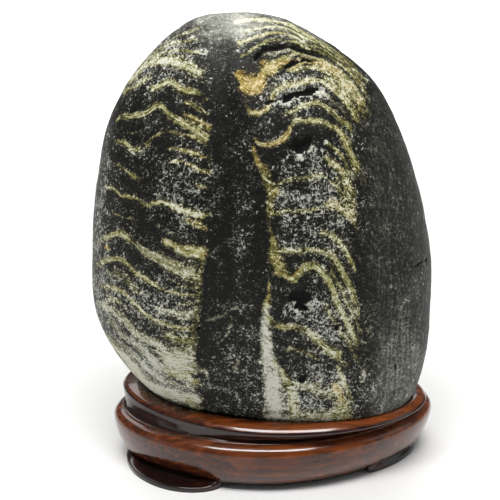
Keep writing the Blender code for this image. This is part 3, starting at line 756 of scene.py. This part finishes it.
# Feet: middle and half width in degrees round the stand, how far they spread, and their lean to one side
FEET = ((215.3, 30.1, 8.7, 0.75), (331.0, 23.0, 1.4, -0.3), (58.0, 22.0, 4.4, 0.0), (130.0, 23.0, 5.4, 0.0))
FOOT_EDGE_HEIGHT, FOOT_CREASE_HEIGHT, FOOT_BEVEL = 2.4, 3.8, 0.5
FOOT_CREASE_SHARE, COVE_SHARE, COVE_HEIGHT = 0.3, 0.1, 3.3  # how far out the crease and the cove lie
FOOT_INNER_INSET, UNDERSIDE_INSET, FOOT_UNDERCUT = 20.0, 38.0, 1.6
STAND_STEPS = 480


def oval(angles, length, depth, inset, turn=0.0, shift=0.0):
    """Plan points of one of the stand's ovals, moved in by an inset for each angle."""
    c, s = rounded(angles - turn, OVAL_SQUARENESS)
    out = np.stack((np.cos(angles - turn) / length, np.sin(angles - turn) / depth, 0 * c), -1)
    out /= np.linalg.norm(out, axis=-1, keepdims=True)
    inset = np.broadcast_to(inset, angles.shape)[:, None]
    points = np.stack((length / 2 * c, depth / 2 * s, 0 * c), -1) - out * inset
    return turned(points, turn) + np.array((shift, 0.0, 0.0))


def raised(plan, height):
    """Plan points lifted to a height, which may differ round the ring."""
    return plan + np.array((0.0, 0.0, 1.0)) * np.broadcast_to(height, plan.shape[:1])[:, None]


def foot_shape(angles):
    """At each angle, whether a foot stands there, and how far it spreads and what share that is."""
    stands, spread, share = (np.zeros_like(angles) for _ in range(3))
    for middle, half, reach, lean in FEET:
        along = np.clip(((np.degrees(angles) - middle + 180) % 360 - 180) / half, -1, 1)
        bulge = (1 - along**2) ** 0.75 * (1 + lean * along)
        stands = np.maximum(stands, np.abs(along) < 1)
        spread, share = np.maximum(spread, reach * bulge), np.maximum(share, bulge)
    return stands, spread, share


def between(keys, count):
    """Rings drawn smoothly through the key rings, with count steps between each two."""
    keys = np.array(keys)
    slopes = np.gradient(keys, axis=0) if len(keys) > 2 else np.repeat(keys[1:] - keys[:1], 2, 0)
    rings = []
    for k in range(len(keys) - 1):
        for t in np.arange(count) / count:
            rise = (3 - 2 * t) * t * t
            bend = t * (1 - t) * ((1 - t) * slopes[k] - t * slopes[k + 1])
            rings.append(keys[k] + (keys[k + 1] - keys[k]) * rise + bend)
    rings.append(keys[-1])
    return rings


angles = np.arange(STAND_STEPS) * 2 * math.pi / STAND_STEPS
stands, spread, foot_share = foot_shape(angles)
slim = 1 + SLIM_SHARE * np.maximum(0, np.cos(angles - SLIM_ANGLE)) ** 2
apron = APRON_INSET * slim
edge, bare = apron - spread, 1 - stands
pad, pad_edge, pad_top, pad_crease, cove = (
    np.where(stands > 0, height, APRON_BOTTOM)
    for height in (0.0, FOOT_EDGE_HEIGHT - FOOT_BEVEL, FOOT_EDGE_HEIGHT, FOOT_CREASE_HEIGHT, COVE_HEIGHT)
)
crease_inset = apron - np.maximum(0.5 * foot_share, FOOT_CREASE_SHARE * spread)
cove_inset = apron - COVE_SHARE * spread


def nose_ring(inset, height):
    """A ring of the stand's main oval."""
    return raised(oval(angles, NOSE_LENGTH, NOSE_DEPTH, inset), height)


def seat_ring(height):
    """A ring of the seat, which follows the stone with a small gap."""
    at = np.full(angles.shape, share_of(height))
    points = stone_form(at, angles) + stone_outward(at, angles) * SEAT_GAP
    return turned(points, STONE_TURN)


lip = seat_ring(LIP_HEIGHT)
collar = [
    raised(oval(angles, COLLAR_LENGTH, COLLAR_DEPTH, inset, COLLAR_TURN, COLLAR_SHIFT), height)
    for inset, height in COLLAR_EDGE
]
groove = nose_ring(GROOVE_INSET, GROOVE_HEIGHT)
walls = []
for share_across, height in COLLAR_WALL:
    wall = collar[0] + (groove - collar[0]) * share_across
    wall[:, 2] = height
    walls.append(wall)
tops = []
for share_across, rise in COLLAR_TOP:
    top = lip + (collar[-1] - lip) * share_across
    top[:, 2] = LIP_HEIGHT + rise
    tops.append(top)
pad_foot = nose_ring(edge + 0.3 * bare, pad_edge - FOOT_UNDERCUT * stands)
pad_rim = nose_ring(edge + FOOT_BEVEL * foot_share, pad_top)
nose = nose_ring(0.0, NOSE_HEIGHT)
runs = (  # the key rings of each smooth run, how finely it is drawn, and how its lacquer lies
    ([nose_ring(inset, APRON_BOTTOM) for inset in (UNDERSIDE_INSET, FOOT_INNER_INSET + 0.6)], 2, "hidden"),
    ([nose_ring(FOOT_INNER_INSET, pad), nose_ring(edge + 0.5 * bare, pad)], 2, "hidden"),
    ([pad_foot, nose_ring(edge + 0.25 * bare, pad_edge)], 2, "wall"),
    ([nose_ring(edge + FOOT_BEVEL * foot_share * 0.4, pad_top - 0.15 * stands)], 1, "edge"),
    ([pad_rim, nose_ring(crease_inset + 0.5 * foot_share, pad_crease)], 5, "pad"),
    ([nose_ring(crease_inset, pad_crease)], 1, "edge"),
    ([nose_ring(cove_inset + 0.2 * bare, cove)], 1, "recess"),
    ([nose_ring(inset * slim, height) for inset, height in APRON] + [nose], 6, "apron"),
    ([nose_ring(inset, height) for inset, height in MOULDING], 4, "moulding"),
    ([nose_ring(inset, height) for inset, height in BEAD], 3, "bead"),
    ([groove], 1, "recess"),
    (walls + collar + tops + [lip], 5, "collar"),
    ([seat_ring(height) for height in (31.0, 27.0, 21.0)], 2, "seat"),
)
rings, finishes, run_shares = [], [], []
for keys, count, finish in runs:
    drawn = between(keys, count) if len(keys) > 1 else keys
    rings += drawn
    finishes += [finish] * len(drawn)
    run_shares += np.linspace(0, 1, len(drawn)).tolist()
stand = ring_mesh("carved_stand", np.array(rings))
stand.data.set_sharp_from_angle(angle=math.radians(50))

# How thin the lacquer is rubbed on each ring, and how dark each ring is made. Hands rub it on the nose, on
# the collar's edge and most at the front right and left end. The moulding's top, the collar's top and the
# apron are lighter as painted light; the groove, the coves, the underside, the seat, the collar's wall and
# the collar's top by the stone are dark as painted shade, and the feet are made darker.
# Wear and painted light: the edges and the bead are lighter for their thin lacquer, and the moulding's top
# and the apron are lighter and orange as painted light
RUBBED_AND_LIT = {"edge": 0.6, "bead": 0.5, "moulding": 0.75, "apron": 0.35}
# Painted shade: the groove, the coves, the hidden underside and the seat are made dark where shade falls;
# the feet's walls and pads are made darker too
SHADE_AND_STAIN = {"recess": 1.0, "hidden": 1.0, "seat": 0.9, "wall": 0.8, "pad": 0.8, "apron": 0.05}
rubbed = np.array([RUBBED_AND_LIT.get(finish, 0.0) for finish in finishes])
shade_and_stain = np.array([SHADE_AND_STAIN.get(finish, 0.0) for finish in finishes])
heights = np.array(rings)[..., 2].mean(1)
rubbed = np.maximum(rubbed, 0.9 * np.exp(-(((heights - NOSE_HEIGHT - 0.4) / 0.6) ** 2)))
# The collar's top is lighter towards its outer edge: thin lacquer there, and painted light on the top
rubbed = np.maximum(rubbed, 0.8 * soft_step(31.2, 32.2, heights) * (heights < 34.0))
# Painted shade on the groove and on the collar's wall
shade_and_stain = np.maximum(shade_and_stain, 0.75 * soft_step(24.0, 26.0, heights) * (1 - soft_step(30.8, 31.8, heights)))
# Painted shadow on the collar's top where it meets the stone
by_the_stone = (np.array(finishes) == "collar") * soft_step(0.6, 0.95, np.array(run_shares))
rubbed, shade_and_stain = rubbed * (1 - by_the_stone), np.maximum(shade_and_stain, 0.85 * by_the_stone)
more_rubbed = 0.35 + 0.65 * soft_step(-0.1, 0.9, np.cos(angles - math.radians(315.0)))
more_rubbed = np.maximum(more_rubbed, 0.9 * soft_step(0.94, 0.99, np.cos(angles - math.radians(190.0))))
# Painted shade in the coves over the feet
in_cove = foot_share * (1 - soft_step(5.0, 8.5, heights))[:, None]
wear_and_shading = {"rubbed": rubbed[:, None] * more_rubbed, "shade_and_stain": np.maximum(shade_and_stain[:, None], in_cove)}
for name, values in wear_and_shading.items():
    held = stand.data.attributes.new(name, "FLOAT", "POINT")
    held.data.foreach_set("value", values.astype(np.float32).ravel())

# Rosewood, stained red-brown and lacquered by hand: fine dark pores run along the grain, and the lacquer is
# glossy but not flat, and thin and orange on the edges. The upper faces are made orange too, as painted
# light, and the grooves, coves, underside and the collar's wall near black, as painted shade. Real pores are
# about 0.15 mm wide; they are drawn coarser, as the picture would lose them.

GRAIN_RUN, GRAIN_WIDTH = 30.0, 2.2  # length and width of the grain's streaks, in millimetres
PORE_RUN, PORE_WIDTH = 9.0, 0.55
CLOUD_SIZE = 16.0  # the same for the clouds where the lacquer is thin

rosewood, tree, surface = new_material("lacquered_rosewood")
place = add(tree, "TexCoord").outputs["Object"]
rubbed_and_lit_in = add(tree, "Attribute", attribute_name="rubbed").outputs["Fac"]
shade_and_stain_in = add(tree, "Attribute", attribute_name="shade_and_stain").outputs["Fac"]
streak_scale = (1 / (GRAIN_RUN * MM), 1 / (GRAIN_WIDTH * MM), 1 / (GRAIN_WIDTH * MM))
pore_scale = (1 / (PORE_RUN * MM), 1 / (PORE_WIDTH * MM), 1 / (PORE_WIDTH * MM))
streak_place = add(tree, "VectorMath", {0: place, 1: streak_scale}, operation="MULTIPLY")
pore_place = add(tree, "VectorMath", {0: place, 1: pore_scale}, operation="MULTIPLY")
streak = add(tree, "TexNoise", {"Vector": streak_place, "Scale": 1.0, "Detail": 4.0, "Distortion": 0.4})
pores = add(tree, "TexNoise", {"Vector": pore_place, "Scale": 1.0, "Detail": 2.0})
cloud = add(tree, "TexNoise", {"Vector": place, "Scale": 1 / (CLOUD_SIZE * MM), "Detail": 2.0})
wood = add(tree, "ValToRGB", {"Fac": streak})
ramp = wood.color_ramp.elements
ramp[0].position, ramp[0].color = 0.32, colour("#1c0a05")
ramp[1].position, ramp[1].color = 0.72, colour("#6e3212")
ramp.new(0.5).color = colour("#381508")
pore_range = {"Value": pores, "From Min": 0.56, "From Max": 0.66, "To Max": 0.6}
pore_mask = add(tree, "MapRange", pore_range, interpolation_type="SMOOTHSTEP")
thin = add(tree, "Math", {0: cloud, 1: streak}, operation="MULTIPLY")
thin = add(tree, "MapRange", {"Value": thin, "From Min": 0.02, "From Max": 0.46})
thin = add(tree, "Math", {0: thin, 1: rubbed_and_lit_in}, operation="MULTIPLY")
wood = wood.outputs["Color"]
# The orange #9f5017 is thin lacquer on the edges and painted light on the upper faces; the near black
# #160806 is painted shade
for cover, code in ((pore_mask, "#1c0804"), (thin, "#9f5017"), (shade_and_stain_in, "#160806")):
    coat = {"Factor": cover, "A": wood, "B": colour(code)}
    wood = add(tree, "Mix", coat, data_type="RGBA").outputs["Result"]
rough_range = {"From Min": 0.3, "From Max": 0.7, "To Min": 0.14, "To Max": 0.26}
gloss = add(tree, "MapRange", {"Value": streak, **rough_range})
uneven = add(tree, "Math", {0: pores, 1: 0.35, 2: streak}, operation="MULTIPLY_ADD")
lacquer_skin = add(tree, "Bump", {"Height": uneven, "Strength": 0.35, "Distance": 0.2 * MM})
lacquer = {"Specular IOR Level": 0.35, "Coat Weight": 0.6, "Coat Roughness": 0.08}
feed(tree, surface, {"Base Color": wood, "Roughness": gloss, "Normal": lacquer_skin, **lacquer})
stand.data.materials.append(rosewood)
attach(stand, "root")
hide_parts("stand")

# The studio: a matt white paper floor, wide enough to fill the picture. Far from the stand the eye meets
# it as white as the walls, so that no horizon shows from any side.

FLOOR_HALF = 4.0  # metres
WHITE_FROM, WHITE_AT = 0.35, 1.0  # metres from the stand
WALL_LIGHT, WHITE_WALL = 0.14, 0.975  # what the walls give the object, and what the eye sees of them
FIBRES = 900.0  # in a metre

floor_mesh = bpy.data.meshes.new("paper_floor")
corners = [(-1, -1), (1, -1), (1, 1), (-1, 1)]
floor_mesh.from_pydata([(x * FLOOR_HALF, y * FLOOR_HALF, 0.0) for x, y in corners], [], [(0, 1, 2, 3)])
floor = bpy.data.objects.new("paper_floor", floor_mesh)
set_out.link(floor)
paper, tree, surface = new_material("matt_white_paper")
place = add(tree, "TexCoord").outputs["Object"]
fibre = add(tree, "TexNoise", {"Vector": place, "Scale": FIBRES, "Detail": 2.0})
sheet = add(tree, "Mix", {"Factor": fibre, "A": colour("#efefee"), "B": colour("#f5f5f4")}, data_type="RGBA")
feed(tree, surface, {"Base Color": sheet.outputs["Result"], "Roughness": 0.9, "Specular IOR Level": 0.2})
away = add(tree, "VectorMath", {0: place}, operation="LENGTH").outputs["Value"]
fading = {"Value": away, "From Min": WHITE_FROM, "From Max": WHITE_AT, "To Max": WHITE_WALL}
far_white = add(tree, "MapRange", fading, interpolation_type="SMOOTHSTEP")
seen = add(tree, "LightPath").outputs["Is Camera Ray"]
glow = add(tree, "Math", {0: far_white, 1: seen}, operation="MULTIPLY")
feed(tree, surface, {"Emission Strength": glow, "Emission Color": colour("#ffffff")})
floor_mesh.materials.append(paper)

# The light: a dim room, one soft box overhead and a little to the front left, whose streak shows in the
# lacquer, weak ones on both sides, and one behind that keeps the far paper white.

SOFT_BOXES = (  # name, place, where it points, length and width in metres, watts
    ("overhead_soft_box", (-0.05, -0.36, 1.05), (0.0, 0.0, 0.1), (0.8, 0.28), 11.6),
    ("left_soft_box", (-1.3, -0.5, 0.5), (0.0, 0.0, 0.1), (0.6, 0.6), 0.5),
    ("right_soft_box", (1.3, -0.3, 0.7), (0.0, 0.0, 0.1), (0.9, 0.9), 1.5),
    ("paper_soft_box", (0.0, 1.6, 1.6), (0.0, 1.3, 0.0), (2.8, 2.0), 40.0),
)
for name, spot, target, size, watts in SOFT_BOXES:
    light = bpy.data.lights.new(name, "AREA")
    light.shape, light.energy = "RECTANGLE", watts
    light.size, light.size_y = size
    lamp = bpy.data.objects.new(name, light)
    lamp.location = spot
    lamp.rotation_euler = (Vector(target) - Vector(spot)).to_track_quat("-Z", "Y").to_euler()
    set_out.link(lamp)
room = bpy.data.worlds.new("white_walls")
bpy.context.scene.world = room
room.use_nodes = True
tree = room.node_tree
seen = add(tree, "LightPath").outputs["Is Camera Ray"]
strength = add(tree, "MapRange", {"Value": seen, "To Min": WALL_LIGHT, "To Max": WHITE_WALL})
feed(tree, tree.nodes["Background"], {"Strength": strength, "Color": colour("#ffffff")})
bpy.context.scene.view_settings.view_transform = "Standard"

# The camera: a long lens a little above the stone, in front and slightly to its left, held a hair off level.

CAMERA_AIM = (-10.95, -7.07)  # millimetres right and up of the axis point; it centres the object
CAMERA_ROLL = -0.0065
LENS, SENSOR = 100.1, 36.0

stand_place = np.array((PLACE_X, PLACE_Y, 0.0))
eye_right, eye_up = (turned(axis, STONE_TURN) for axis in (np.array((1.0, 0, 0)), EYE_UP))
eye = turned(EYE, STONE_TURN) + stand_place
aim = stand_place + (0, 0, AXIS_HEIGHT) + eye_right * CAMERA_AIM[0] + eye_up * CAMERA_AIM[1]
camera_data = bpy.data.cameras.new("studio_camera")
camera_data.lens, camera_data.sensor_width = LENS, SENSOR
camera_data.clip_start, camera_data.clip_end = 0.05, 20.0
camera = bpy.data.objects.new("studio_camera", camera_data)
camera.location = Vector(eye * MM)
facing_aim = Vector(aim - eye).to_track_quat("-Z", "Y")
camera.rotation_euler = (facing_aim @ Quaternion((0, 0, 1), CAMERA_ROLL)).to_euler()
set_out.link(camera)
bpy.context.scene.camera = camera
